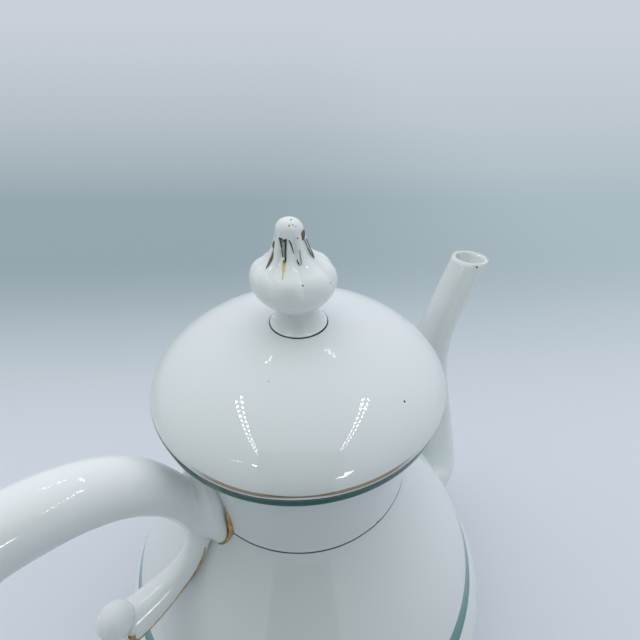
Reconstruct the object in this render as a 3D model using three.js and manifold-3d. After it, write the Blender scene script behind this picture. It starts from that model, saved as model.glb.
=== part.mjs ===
// Lidded porcelain coffee jug: a pear-shaped pot with a round neck, a swan-neck spout,
// a scrolled loop handle and a mushroom lid that lifts off.
// Millimetres, +Z up from the table, +X along the spout, -X towards the handle.
import * as THREE from 'three';
import { mergeVertices } from 'three/addons/utils/BufferGeometryUtils.js';
import Module from 'manifold-3d';

const wasm = await Module();
wasm.setup();

// Gap that a luted clay joint keeps between the two pieces it joins
const seamGap = 0.3;

// Pot: heights above the table and radii from the pot's own axis
const footOuterRadius = 50;
const footRingWidth = 6;
const footHeight = 6;
const footBevel = 1;
const baseRadius = 48;
const undersideStep = 0.6;
const bellyRadius = 82;
const bellyHeight = 34;
const shoulderRadius = 72.4;
const shoulderHeight = 65.2;
const neckFootRadius = 39.2;
const neckFootHeight = 120.7;
const neckFootFlare = 0.45;
const shoulderFlare = 0.32;
const bellyEase = 0.6;
const neckEase = 0.36;
const mouthRadius = 40.5;
const mouthHeight = 161;
const mouthRounding = 1.6;
const lipCut = { in: 0.4, down: 0.3 };
const potWall = 4;
// Pull of the curve between the base and the belly, as shares of its width and height
const basePull = { out: 0.62, up: 0.06 };
const bellyPull = 0.55;

// Lid: heights above the lower edge of its rim
const rimDrop = 1;
const rimOverhang = 6.5;
const lidSwell = 0.5;
const rimHeight = mouthHeight - rimDrop;
const rimRadius = mouthRadius + rimOverhang;
const lidMaxRadius = rimRadius + lidSwell;
const lidMaxHeight = 4;
const domeHeight = 24;
const domeSpread = 1.07;
const domeRise = 1.34;
const lidWall = 4.2;
const seatGap = 0.3;
const flangeClearance = 1;
const flangeWall = 3.5;
const flangeDepth = 14;
const rimUndercut = 0.8;
const rimLedge = 2.4;
const rimEdge = { in: 0.6, up: 0.3 };
const rimBulge = { out: 0.1, up: 1.4 };
const seatMargin = 1.4;
const hollowFall = 3;
const hollowSide = 4;
const hollowFlat = 0.6;
const flangeBevel = 1;

// Knob on the lid: heights above the lower edge of the lid's rim
const knobFootRadius = 9;
const knobWaistRadius = 6.5;
const knobWaistHeight = 27.2;
const bulbRadius = 12.9;
const bulbHeight = 38.8;
const bulbHalfThickness = 7.8;
const finialFootRadius = 7;
const finialTipRadius = 3.8;
const finialTopHeight = 56.5;
const lobeCount = 8;
const lobeDepth = 0.8;
// Pulls of the knob's curves: foot's flare, stem, underside and shoulder of the bulb, cone and tip
const knobFootPull = { out: 0.8, up: 0.6, down: 1 };
const stemPull = { up: 3.4, out: 0.4, wide: 2.4, rise: 0.8 };
const bulbPull = { in: 0.6, low: 0.72, side: 0.4, high: 0.55, out: 1.4, down: 0.6 };
const conePull = { edge: 0.2, in: 2.6, up: 1.6, out: 0.5, down: 4 };
const tipPull = 0.6;
// Heights between which the lobes fade in on the bulb and out below the tip
const lobeFade = { above: 2, below: 2, tipStart: 6, tipEnd: 1 };

// Spout: stations of its centre line in the XZ plane, with its outer radius at each
const spoutStations = [
  { x: bellyRadius - 22, z: 37, radius: 23.5 },
  { x: bellyRadius - 12, z: 38, radius: 24 },
  { x: bellyRadius - 5, z: 41, radius: 25.8 },
  { x: bellyRadius + 4, z: 47.5, radius: 24.2 },
  { x: bellyRadius + 7.2, z: 56, radius: 19.7 },
  { x: bellyRadius + 8.6, z: 67, radius: 15.7 },
  { x: bellyRadius + 8.4, z: 80, radius: 12.4 },
  { x: bellyRadius + 5.4, z: 95, radius: 10.4 },
  { x: bellyRadius + 1, z: 110, radius: 9.6 },
  { x: bellyRadius - 1.8, z: 127, radius: 8.8 },
  { x: bellyRadius + 1.4, z: 143, radius: 7.8 },
  { x: bellyRadius + 8.8, z: 157, radius: 7.7 },
  { x: bellyRadius + 18.2, z: 172, radius: 7.8 },
  { x: bellyRadius + 24.2, z: 183, radius: 7.9 },
];
const spoutWall = 2.6;
const beakCentre = { x: bellyRadius + 16.9, z: 171 };
const beakTilt = 6;

// Strainer: holes through the pot's wall behind the spout
const strainerHoleRadius = 3;
const strainerPitch = 9.5;
const strainerRing = 6;
const strainerSides = 12;
const strainerHeight = 44;

// Handle: stations of its centre line in the XZ plane, with its radius at each,
// from the lower joint on the belly, over the arch and down past the neck
const handleStations = [
  { x: -bellyRadius + 18, z: 43, radius: 9.6 },
  { x: -bellyRadius + 5, z: 50, radius: 9 },
  { x: -bellyRadius - 9, z: 61, radius: 8.4 },
  { x: -bellyRadius - 22, z: 79, radius: 8.2 },
  { x: -bellyRadius - 30.5, z: 102, radius: 8.3 },
  { x: -bellyRadius - 33, z: 126, radius: 8.5 },
  { x: -bellyRadius - 28, z: 149, radius: 8.7 },
  { x: -bellyRadius - 13, z: 164.2, radius: 8.7 },
  { x: -bellyRadius + 5, z: 165.6, radius: 8.5 },
  { x: -neckFootRadius - 22.8, z: 159.6, radius: 7.9 },
  { x: -neckFootRadius - 13, z: 147.6, radius: 6.7 },
  { x: -neckFootRadius - 7.8, z: 134.5, radius: 5.6 },
  { x: -neckFootRadius - 6.1, z: 122, radius: 4.6 },
  { x: -neckFootRadius - 8, z: 112, radius: 4 },
];
// Root pad: the clay that beds the handle on the neck, as half sizes about its centre
const rootCentre = { x: -neckFootRadius - 1.8, z: 130 };
const rootHalf = { x: 8, y: 9.9, z: 18 };
// Scroll: it carries on from the handle's end beside the neck and curls outwards
const scrollStations = [
  { x: -neckFootRadius - 7.7, z: 112.8, radius: 4 },
  { x: -neckFootRadius - 11.8, z: 106.2, radius: 3.9 },
  { x: -neckFootRadius - 18.2, z: 101.7, radius: 4.3 },
  { x: -neckFootRadius - 26.2, z: 98.9, radius: 5.3 },
  { x: -neckFootRadius - 34.5, z: 97.3, radius: 6 },
  { x: -neckFootRadius - 37.6, z: 98.3, radius: 5.6 },
];
const partingBlock = 30;
const ballRadius = 5.7;
const ballCentre = { x: -neckFootRadius - 38.4, z: 103.1 };

// Fineness of the faceted surfaces
const latheSegments = 40;
const outlineDivisions = 5;
const knobDivisions = 3;
const knobStepsPerLobe = 5;
const spoutFineness = { sides: 16, steps: 30 };
const handleFineness = { sides: 12, steps: 34, widen: 1.08 };
const padFineness = { around: 16, along: 12 };
const ballFineness = { around: 18, along: 12 };

const porcelain = new THREE.MeshStandardMaterial({ color: 0xe4e9e8, roughness: 0.12, metalness: 0 });
const bisque = new THREE.MeshStandardMaterial({ color: 0xd9d5cb, roughness: 0.75, metalness: 0 });

// Conversion between three.js geometry and solids for joining and cutting
function toSolid(geometry) {
  const bare = new THREE.BufferGeometry();
  bare.setAttribute('position', geometry.getAttribute('position').clone());
  if (geometry.index) {
    bare.setIndex(geometry.index.clone());
  }
  const merged = mergeVertices(bare, 1e-4);
  const mesh = new wasm.Mesh({
    numProp: 3,
    vertProperties: new Float32Array(merged.getAttribute('position').array),
    triVerts: new Uint32Array(merged.index.array),
  });
  return new wasm.Manifold(mesh);
}

function toGeometry(solid) {
  const mesh = solid.getMesh();
  const geometry = new THREE.BufferGeometry();
  geometry.setAttribute('position', new THREE.BufferAttribute(mesh.vertProperties, 3));
  geometry.setIndex(new THREE.BufferAttribute(mesh.triVerts, 1));
  geometry.computeVertexNormals();
  return geometry;
}

// Turned solid about the Z axis, from an outline of radius and height that rises on the outside
function turned(outline, segments = latheSegments) {
  return new THREE.LatheGeometry(outline, segments).rotateX(Math.PI / 2);
}

// Outline moved by a distance to its outside; the ends stay on the axis or at their height
function offsetOutline(outline, distance) {
  return outline.map((point, index) => {
    const before = outline[Math.max(index - 1, 0)];
    const after = outline[Math.min(index + 1, outline.length - 1)];
    const along = new THREE.Vector2().subVectors(after, before).normalize();
    const moved = new THREE.Vector2(point.x + along.y * distance, point.y - along.x * distance);
    moved.x = point.x === 0 ? 0 : Math.max(moved.x, 0);
    return moved;
  });
}

// Solid swept along stations in the XZ plane, round or oval, with a radius at each station
function swept(stations, { sides, steps, shrink = 0, widen = 1 }) {
  const centreLine = new THREE.CatmullRomCurve3(
    stations.map(({ x, z }) => new THREE.Vector3(x, 0, z)), false, 'centripetal');
  const bar = new THREE.CylinderGeometry(1, 1, 1, sides, steps);
  const position = bar.getAttribute('position');
  for (let index = 0; index < position.count; index += 1) {
    const travel = THREE.MathUtils.clamp(position.getY(index) + 0.5, 0, 1);
    const centre = centreLine.getPoint(travel);
    const along = centreLine.getTangent(travel);
    const radius = radiusAt(stations, travel) - shrink;
    const inPlane = position.getX(index) * radius;
    const sideways = position.getZ(index) * radius * widen;
    position.setXYZ(index, centre.x + along.z * inPlane, -sideways, centre.z - along.x * inPlane);
  }
  return bar;
}

// Radius between stations, eased so that the swept surface has no kinks
function radiusAt(stations, travel) {
  const place = travel * (stations.length - 1);
  const index = Math.min(Math.floor(place), stations.length - 2);
  const ends = [index - 1, index, index + 1, index + 2]
    .map((at) => stations[THREE.MathUtils.clamp(at, 0, stations.length - 1)].radius);
  const curve = new THREE.SplineCurve(ends.map((radius, at) => new THREE.Vector2(at, radius)));
  return curve.getPoint((1 + place - index) / 3).y;
}

// Outer outline of the pot up to the foot of its neck, from the centre of its underside
function potOutline() {
  const outline = new THREE.Path();
  const reach = (neckFootHeight - shoulderHeight) * neckEase;
  const turn = (shoulderHeight - bellyHeight) * bellyEase;
  const above = shoulderHeight - bellyHeight - turn;
  const lift = bellyHeight - footHeight;
  outline.moveTo(0, footHeight);
  outline.lineTo(baseRadius * undersideStep, footHeight);
  outline.lineTo(baseRadius, footHeight);
  outline.bezierCurveTo(
    baseRadius + (bellyRadius - baseRadius) * basePull.out, footHeight + lift * basePull.up,
    bellyRadius, bellyHeight - lift * bellyPull,
    bellyRadius, bellyHeight);
  outline.bezierCurveTo(
    bellyRadius, bellyHeight + turn,
    shoulderRadius + shoulderFlare * above, shoulderHeight - above,
    shoulderRadius, shoulderHeight);
  outline.bezierCurveTo(
    shoulderRadius - shoulderFlare * reach, shoulderHeight + reach,
    neckFootRadius + neckFootFlare * reach, neckFootHeight - reach,
    neckFootRadius, neckFootHeight);
  return outline.getPoints(outlineDivisions);
}

// Pot's whole outside as a solid, neck included, grown by the seam's gap to trim what is luted on
function potEnvelope() {
  const below = offsetOutline(potOutline(), seamGap);
  below[0].y = footHeight - seamGap;
  below[below.length - 1].set(neckFootRadius + seamGap, neckFootHeight);
  return toSolid(turned([
    ...below,
    new THREE.Vector2(mouthRadius + seamGap, mouthHeight),
    new THREE.Vector2(0, mouthHeight),
  ]));
}

// Foot ring, trimmed to the underside of the pot
function footRing() {
  const inner = footOuterRadius - footRingWidth;
  const top = footHeight * 2;
  const ring = turned([
    new THREE.Vector2(inner, top),
    new THREE.Vector2(inner, footBevel),
    new THREE.Vector2(inner + footBevel, 0),
    new THREE.Vector2(footOuterRadius - footBevel, 0),
    new THREE.Vector2(footOuterRadius, footBevel),
    new THREE.Vector2(footOuterRadius, top),
    new THREE.Vector2(inner, top),
  ]);
  return toGeometry(toSolid(ring).subtract(potEnvelope()));
}

// Radius of the pot's outside at a height, and how far its face leans upwards there
function wallAt(height) {
  const outline = potOutline();
  const above = outline.findIndex((point) => point.y > height);
  const low = outline[above - 1];
  const high = outline[above];
  return {
    radius: THREE.MathUtils.mapLinear(height, low.y, high.y, low.x, high.x),
    lean: Math.atan2(low.x - high.x, high.y - low.y),
  };
}

// Holes of the strainer, each square to the wall that it goes through
function strainerHoles() {
  const wall = wallAt(strainerHeight);
  const places = [[0, 0]];
  for (let turn = 0; turn < strainerRing; turn += 1) {
    const angle = (turn + 0.5) * 2 * Math.PI / strainerRing;
    places.push([strainerPitch * Math.cos(angle), strainerPitch * Math.sin(angle)]);
  }
  return places.map(([across, up]) => toSolid(
    new THREE.CylinderGeometry(strainerHoleRadius, strainerHoleRadius, potWall * 5, strainerSides)
      .rotateZ(-Math.PI / 2)
      .translate(0, across, up)
      .rotateY(-wall.lean)
      .translate(wall.radius, 0, strainerHeight)));
}

// Pot from its underside to the foot of its neck, hollow, with the strainer behind the spout
function bodyShell() {
  const outside = potOutline();
  const inside = offsetOutline(outside, -potWall).reverse();
  inside[0].set(neckFootRadius - potWall, neckFootHeight);
  inside[inside.length - 1].y = footHeight + potWall;
  const shell = toSolid(turned([...outside, ...inside]));
  return toGeometry(strainerHoles().reduce((rest, hole) => rest.subtract(hole), shell));
}

// Neck, nearly straight, standing on the shoulder and opening a little towards the mouth
function neckCollar() {
  const foot = neckFootHeight + seamGap;
  const edge = mouthHeight - mouthRounding;
  return turned([
    new THREE.Vector2(neckFootRadius - potWall, foot),
    new THREE.Vector2(neckFootRadius, foot),
    new THREE.Vector2(mouthRadius, edge),
    new THREE.Vector2(mouthRadius - mouthRounding * lipCut.in, mouthHeight - mouthRounding * lipCut.down),
    new THREE.Vector2(mouthRadius - mouthRounding, mouthHeight),
    new THREE.Vector2(mouthRadius - potWall + mouthRounding, mouthHeight),
    new THREE.Vector2(mouthRadius - potWall, edge),
    new THREE.Vector2(neckFootRadius - potWall, foot),
  ]);
}

// Spout, hollow from the pot's wall to the beak
function spout() {
  const tilt = THREE.MathUtils.degToRad(beakTilt);
  const trimSize = 40;
  const aboveBeak = new THREE.BoxGeometry(trimSize, trimSize, trimSize)
    .translate(0, 0, trimSize / 2)
    .rotateY(tilt)
    .translate(beakCentre.x, 0, beakCentre.z);
  const channel = swept(spoutStations, { ...spoutFineness, shrink: spoutWall });
  return toGeometry(toSolid(swept(spoutStations, spoutFineness))
    .subtract(potEnvelope())
    .subtract(toSolid(aboveBeak))
    .subtract(toSolid(channel)));
}

// Handle from its lower joint on the belly to its end beside the neck, with its root pad
function handleLoop() {
  const pad = new THREE.SphereGeometry(1, padFineness.around, padFineness.along)
    .rotateX(Math.PI / 2)
    .scale(rootHalf.x, rootHalf.y, rootHalf.z)
    .translate(rootCentre.x, 0, rootCentre.z);
  return toSolid(swept(handleStations, handleFineness))
    .add(toSolid(pad))
    .subtract(potEnvelope())
    .subtract(besideParting(-1, 0));
}

// Block above or below the level where the scroll is joined to the handle's end
function besideParting(side, gap) {
  const { x, z } = scrollStations[0];
  return toSolid(new THREE.BoxGeometry(partingBlock, partingBlock, partingBlock)
    .translate(x, 0, z + side * partingBlock / 2 - gap));
}

function ball(growth) {
  return new THREE.SphereGeometry(ballRadius + growth, ballFineness.around, ballFineness.along)
    .rotateX(Math.PI / 2)
    .translate(ballCentre.x, 0, ballCentre.z);
}

// Scroll under the handle, trimmed to the neck, to the handle's end and to the ball
function handleScroll() {
  return toSolid(swept(scrollStations, handleFineness))
    .subtract(potEnvelope())
    .subtract(besideParting(1, seamGap))
    .subtract(toSolid(ball(seamGap)));
}

// Dome from its widest circle to its centre: a rounded curve between an ellipse and a cone
function domeCurve() {
  const steps = outlineDivisions * 2 - 1;
  return Array.from({ length: steps }, (unused, step) => {
    const angle = (step + 1) / steps * Math.PI / 2;
    const radius = step + 1 === steps ? 0 : lidMaxRadius * Math.cos(angle) ** domeSpread;
    const rise = (domeHeight - lidMaxHeight) * Math.sin(angle) ** domeRise;
    return new THREE.Vector2(radius, rimHeight + lidMaxHeight + rise);
  });
}

// Lid's dome: outside and hollow inside, with a flat seat that rests on the mouth
function lidDome() {
  const seat = mouthHeight + seatGap;
  const flangeOuter = mouthRadius - potWall - flangeClearance;
  const outside = new THREE.Path();
  outside.moveTo(rimRadius - rimLedge, rimHeight + rimUndercut);
  outside.lineTo(rimRadius - rimEdge.in, rimHeight);
  outside.lineTo(rimRadius, rimHeight + rimEdge.up);
  outside.bezierCurveTo(
    rimRadius + rimBulge.out, rimHeight + rimBulge.up,
    lidMaxRadius, rimHeight + lidMaxHeight - rimBulge.up,
    lidMaxRadius, rimHeight + lidMaxHeight);
  const innerRadius = flangeOuter - flangeWall - seamGap;
  const inside = new THREE.Path();
  inside.moveTo(0, rimHeight + domeHeight - lidWall);
  inside.bezierCurveTo(
    innerRadius * hollowFlat, rimHeight + domeHeight - lidWall,
    innerRadius, rimHeight + domeHeight - lidWall - hollowFall,
    innerRadius, seat + hollowSide);
  inside.lineTo(innerRadius, seat);
  inside.lineTo(mouthRadius + seatMargin, seat);
  inside.lineTo(rimRadius - rimLedge, rimHeight + rimUndercut);
  const outline = [...outside.getPoints(3), ...domeCurve(), ...inside.getPoints(outlineDivisions)];
  return turned(outline);
}

// Flange under the lid, which drops into the mouth and keeps the lid from sliding off
function lidFlange() {
  const top = mouthHeight + seatGap - seamGap;
  const outer = mouthRadius - potWall - flangeClearance;
  const inner = outer - flangeWall;
  const bottom = top - flangeDepth;
  return turned([
    new THREE.Vector2(inner, top),
    new THREE.Vector2(inner, bottom + flangeBevel),
    new THREE.Vector2(inner + flangeBevel, bottom),
    new THREE.Vector2(outer - flangeBevel, bottom),
    new THREE.Vector2(outer, bottom + flangeBevel),
    new THREE.Vector2(outer, top),
    new THREE.Vector2(inner, top),
  ]);
}

// Lobes round the knob: they fade out towards the stem and the tip
function lobed(geometry, strengthAt) {
  const position = geometry.getAttribute('position');
  for (let index = 0; index < position.count; index += 1) {
    const x = position.getX(index);
    const y = position.getY(index);
    const radius = Math.hypot(x, y);
    const depth = lobeDepth * strengthAt(position.getZ(index) - rimHeight);
    const wave = Math.abs(Math.cos(Math.atan2(y, x) * lobeCount / 2)) - 1;
    const scale = radius > depth ? 1 + depth * wave / radius : 1;
    position.setXY(index, x * scale, y * scale);
  }
  return geometry;
}

// Knob: a waisted round foot that carries a squat lobed bulb
function lidKnob() {
  const foot = rimHeight + domeHeight + seamGap;
  const bulbTop = rimHeight + bulbHeight + bulbHalfThickness;
  const outline = new THREE.Path();
  outline.moveTo(0, foot);
  outline.lineTo(knobFootRadius, foot);
  outline.bezierCurveTo(
    knobWaistRadius + knobFootPull.out, foot + knobFootPull.up,
    knobWaistRadius, rimHeight + knobWaistHeight - knobFootPull.down,
    knobWaistRadius, rimHeight + knobWaistHeight);
  outline.bezierCurveTo(
    knobWaistRadius, rimHeight + knobWaistHeight + stemPull.up,
    knobWaistRadius + stemPull.out, rimHeight + bulbHeight - bulbHalfThickness,
    knobWaistRadius + stemPull.wide, rimHeight + bulbHeight - bulbHalfThickness + stemPull.rise);
  outline.bezierCurveTo(
    bulbRadius - bulbPull.in, rimHeight + bulbHeight - bulbHalfThickness * bulbPull.low,
    bulbRadius, rimHeight + bulbHeight - bulbHalfThickness * bulbPull.side,
    bulbRadius, rimHeight + bulbHeight);
  outline.bezierCurveTo(
    bulbRadius, rimHeight + bulbHeight + bulbHalfThickness * bulbPull.high,
    finialFootRadius + bulbPull.out, bulbTop - bulbPull.down,
    finialFootRadius, bulbTop);
  outline.lineTo(0, bulbTop);
  const strength = (height) => THREE.MathUtils.smoothstep(
    height, knobWaistHeight + lobeFade.above, bulbHeight - lobeFade.below);
  return lobed(turned(outline.getPoints(knobDivisions), lobeCount * knobStepsPerLobe), strength);
}

// Finial: a fluted cone with a round tip, standing on the bulb
function knobFinial() {
  const foot = rimHeight + bulbHeight + bulbHalfThickness + seamGap;
  const top = rimHeight + finialTopHeight;
  const tipCentre = top - finialTipRadius;
  const outline = new THREE.Path();
  outline.moveTo(0, foot);
  outline.lineTo(finialFootRadius - conePull.edge, foot);
  outline.bezierCurveTo(
    finialFootRadius - conePull.in, foot + conePull.up,
    finialTipRadius + conePull.out, tipCentre - conePull.down,
    finialTipRadius, tipCentre);
  outline.bezierCurveTo(
    finialTipRadius, tipCentre + finialTipRadius * tipPull,
    finialTipRadius * tipPull, top,
    0, top);
  const strength = (height) => 1 - THREE.MathUtils.smoothstep(
    height, finialTopHeight - lobeFade.tipStart, finialTopHeight - lobeFade.tipEnd);
  return lobed(turned(outline.getPoints(knobDivisions), lobeCount * knobStepsPerLobe), strength);
}

function named(name, geometry, material = porcelain) {
  const mesh = new THREE.Mesh(geometry, material);
  mesh.name = name;
  return mesh;
}

// Pot and lid, set so that the origin is midway between the beak and the handle's back
const jug = new THREE.Group();
jug.add(
  named('body_shell', bodyShell()),
  named('neck_collar', neckCollar()),
  named('foot_ring', footRing(), bisque),
  named('spout', spout()),
  named('handle_loop', toGeometry(handleLoop())),
  named('handle_scroll', toGeometry(handleScroll())),
  named('scroll_ball', ball(0)),
  named('lid_dome', lidDome()),
  named('lid_flange', lidFlange()),
  named('lid_knob', lidKnob()),
  named('knob_finial', knobFinial()),
);
const span = new THREE.Box3().setFromObject(jug);
jug.position.x = -(span.min.x + span.max.x) / 2;

const assembly = new THREE.Group();
assembly.add(jug);

export default assembly;
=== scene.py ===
import math

import bmesh
import bpy
from mathutils import Matrix, Vector
from mathutils.bvhtree import BVHTree


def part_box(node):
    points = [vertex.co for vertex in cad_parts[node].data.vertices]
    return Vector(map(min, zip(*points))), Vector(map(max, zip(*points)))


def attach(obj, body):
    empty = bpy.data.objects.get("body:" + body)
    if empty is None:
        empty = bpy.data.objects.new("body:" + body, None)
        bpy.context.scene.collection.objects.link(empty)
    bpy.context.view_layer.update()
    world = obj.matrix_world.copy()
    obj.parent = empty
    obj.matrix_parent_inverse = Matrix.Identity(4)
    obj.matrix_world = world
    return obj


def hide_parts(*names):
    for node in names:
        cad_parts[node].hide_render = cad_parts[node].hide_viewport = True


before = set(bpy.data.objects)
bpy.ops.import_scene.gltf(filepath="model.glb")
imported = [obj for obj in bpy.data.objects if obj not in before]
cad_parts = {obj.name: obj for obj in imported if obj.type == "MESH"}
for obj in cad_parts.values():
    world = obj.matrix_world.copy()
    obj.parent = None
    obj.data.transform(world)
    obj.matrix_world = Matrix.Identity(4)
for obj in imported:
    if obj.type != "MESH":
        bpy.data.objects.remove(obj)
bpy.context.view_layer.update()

# Millimetres in the drawing values below, metres in Blender
MM = 0.001

# Axis of the pot and its lid, taken from the lid's dome
DOME_LOW, DOME_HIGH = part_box("lid_dome")
AXIS_X = (DOME_LOW.x + DOME_HIGH.x) / 2

# Pot: heights above the table and radii from its axis; handles, eases and flares bend its outline
FOOT_OUTER_RADIUS = 50
FOOT_RING_WIDTH = 6
FOOT_HEIGHT = 6
# Corner between foot ring and base, from the ring's outer radius and height
FOOT_CORNER = [(0, -0.9), (0.8, 0.1)]
# The base's outline starts where it is this much wider than the foot ring
FOOT_COVER = 2
BASE_RADIUS = 48
BELLY_RADIUS = 82
BELLY_HEIGHT = 34
BASE_HANDLE = (0.62, 0.06)
BELLY_HANDLE = 0.55
BELLY_EASE = 0.6
SHOULDER_RADIUS = 72.4
SHOULDER_HEIGHT = 65.2
SHOULDER_FLARE = 0.32
NECK_EASE = 0.36
NECK_FOOT_RADIUS = 39.2
NECK_FOOT_HEIGHT = 120.7
NECK_FOOT_FLARE = 0.45
MOUTH_RADIUS = 40.5
MOUTH_HEIGHT = 161
MOUTH_ROUNDING = 1.6
POT_WALL = 4
# Share of the base's radius up to which the floor inside is flat
INSIDE_FLOOR = 0.9
# How far the neck's straight inside stays below its rounded lip and above its foot
NECK_INSIDE_GAP = 2
# The foot ring is bare of glaze below this height
BARE_FOOT_HEIGHT = 1.1

# Strainer: holes through the pot's wall behind the spout, one in the middle and a ring round it
STRAINER_HOLE_RADIUS = 3
STRAINER_PITCH = 9.5
STRAINER_RING = 6
STRAINER_HEIGHT = 44
STRAINER_REACH = (66, 88)

# Lid: heights above the lower edge of its rim
RIM_HEIGHT = 160
RIM_RADIUS = 47
# Rounding of the rim's lower edge: how far in from its radius and how far up
RIM_ROUNDING = [(2.4, 0.8), (1.5, 0.25), (0.7, 0), (0.25, 0.08), (0, 0.35)]
# Handles of the rim's outside: out from its radius and up at its lower end, and down at its widest
RIM_HANDLE = (0.15, 1.5)
RIM_TOP_HANDLE = 1.4
LID_MAX_RADIUS = 47.5
LID_MAX_HEIGHT = 4
DOME_HEIGHT = 24
DOME_SPREAD = 1.07
DOME_RISE = 1.34
LID_WALL = 4.2
# Curve of the hollow under the dome: share of its radius that is flat, its drop, and its start over the seat
HOLLOW_FLAT = 0.6
HOLLOW_DROP = 3
HOLLOW_FROM = 4
# Seat on the neck: its gap, its reach past the mouth's radius, and its corner with the flange
SEAT_GAP = 0.3
SEAT_REACH = 1.4
SEAT_CORNER = [(0, 0.8), (0.3, 0.2), (1, 0)]
FLANGE_OUTER_RADIUS = 35.5
FLANGE_WALL = 3.5
FLANGE_DEPTH = 14

# Painted bands and lines: from and to a height, which is above the rim's lower edge on the lid
RIM_BAND = (-3, 3.2)
RIM_LINE = (3.23, 3.87)
BODY_BAND = (58.2, 66)
NECK_LINE = (NECK_FOOT_HEIGHT - 0.3, NECK_FOOT_HEIGHT + 0.3)
# The line round the knob's foot: from and to a radius, and the heights between which it ends
KNOB_LINE = (8.76, 9.36)
KNOB_LINE_END = (24.4, 24.1)
# Radii from the axis between which the paint of the rim, the body and the neck sets in
RIM_PAINT_FROM = (RIM_RADIUS - 3, RIM_RADIUS - 2.6)
BODY_PAINT_FROM = (SHOULDER_RADIUS - 3.8, SHOULDER_RADIUS - 3.4)
NECK_PAINT_FROM = (NECK_FOOT_RADIUS - 1.6, NECK_FOOT_RADIUS - 1.2)
# The rim's paint lies higher on its left, by this much over this stretch sideways
RIM_RISE = 0.7
RIM_RISE_SIDE = (-8, -40)
# How painted edges wander, as a noise scale and a size, and how softly they end
RIM_WAVER = (0.08, 0.3)
BODY_WAVER = (0.12, 0.4)
KNOB_WAVER = (0.25, 0.12)
NECK_WAVER_SHARE = 0.6
RIM_SOFT = 0.08
BODY_SOFT = 0.15
KNOB_SOFT = 0.06
LINE_SOFT = 0.1
# Gilt line on the rim: its height, half its width, what it loses where it is thin, and its cover
GOLD_HEIGHT = 4.75
GOLD_HALF = 0.42
GOLD_THINNING = 0.22
GOLD_COVER = 0.85
GOLD_METALLIC = 0.3
# Places sideways between which the gilt line wears off, on the left and on the right
GOLD_LEFT = (-28, -18)
GOLD_RIGHT = (34, 25)

# Knob: heights above the lower edge of the lid's rim
KNOB_OUTLINE = [
    (9.2, 23.2), (9.0, 23.5), (8.1, 24.3), (7.2, 25.6), (6.65, 27.2), (6.5, 28.6), (6.6, 29.8), (6.95, 30.6),
    (8.4, 31.6), (10.2, 33.3), (11.7, 35.4), (12.5, 37.6), (12.6, 39.4), (12.1, 41.3), (10.9, 42.9),
    (9.1, 44.1), (7.5, 45.3), (6.3, 46.6), (5.4, 48.2), (4.8, 50.0), (4.3, 51.7), (4.0, 53.0), (3.6, 54.5),
    (2.7, 55.7), (1.4, 56.35), (0, 56.5),
]
LOBE_COUNT = 8
LOBE_DEPTH = 0.9
LOBE_TURN = math.radians(-2.5)
# Heights from which to which the lobes swell, and fade again, and the radius at which they are full
LOBE_SWELL = (38, 43)
LOBE_FADE = (54, 51)
LOBE_FULL_RADIUS = 6
# Lean of the hand-set knob: heights above the lid's rim with the shift to the right there
KNOB_LEAN = [(23.2, 0.25), (28.6, 0.05), (38.5, -0.8), (56.5, -1.5)]

# Worn lines in the knob's flutes: paint, then turn in degrees, height above the rim's edge and width
KNOB_STROKES = [
    ("brown", [(147, 50.3, 0.3), (148, 48.9, 0.9), (163, 47.8, 1.3), (169, 46.4, 1.3), (172, 45.3, 0.8),
        (174, 44.5, 0.15)]),
    ("grey", [(190, 51.7, 1.3), (194, 50.3, 1.1), (199, 48.9, 0.8), (203, 47.7, 0.4)]),
    ("dark", [(179, 52.2, 0.35), (184, 50.4, 0.32), (190, 48.8, 0.32), (198, 47.6, 0.25)]),
    ("dark", [(202, 52.4, 0.38), (203, 50.3, 0.44), (204, 48.7, 0.48), (207, 47.2, 0.48),
        (207, 46.5, 0.25)]),
    ("dark", [(177, 52.3, 0.3), (190, 51.9, 0.35), (204, 52.3, 0.3)]),
    ("dark", [(180, 51.4, 0.15), (190, 51.4, 0.2), (202, 51.8, 0.2)]),
    ("bright", [(202, 47.1, 0.45), (205, 46.2, 0.85), (208, 45.1, 0.65), (209, 44.5, 0.35),
        (211, 43.6, 0.2)]),
    ("brown", [(211, 52.1, 0.25), (217, 51.1, 0.4), (223, 49.5, 0.25), (226, 48.5, 0.12)]),
    ("dark", [(236, 46.9, 0.2), (239, 46.2, 0.35), (241, 45.7, 0.2)]),
    ("grey", [(247, 49.3, 0.15), (247, 46.9, 0.3), (245, 45.8, 0.3)]),
    ("brown", [(307, 53.3, 0.7), (285, 52.6, 1.8), (279, 51.5, 1.1), (270, 51.4, 0.3)]),
    ("grey", [(290, 50.7, 0.25), (294, 48.8, 0.35), (294, 47.2, 0.5), (295, 45.9, 0.25)]),
    ("dark", [(287, 51.2, 0.12), (293, 49.6, 0.2), (297, 47.3, 0.3), (296, 46.1, 0.15)]),
    ("brown", [(301, 51.1, 0.2), (307, 48.8, 0.3), (304, 47.1, 0.3), (296, 45.8, 0.2)]),
]
# A painted line is a ribbon that rises over the surface, with its edges sunk into it
STROKE_LIFT = 0.14
STROKE_SINK = 0.12
STROKE_EDGES = [
    (-1, -STROKE_SINK), (-1, STROKE_LIFT), (0, STROKE_LIFT), (1, STROKE_LIFT), (1, -STROKE_SINK),
]
# Radius outside the knob from which the surface is looked for
KNOB_REACH = 30

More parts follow.
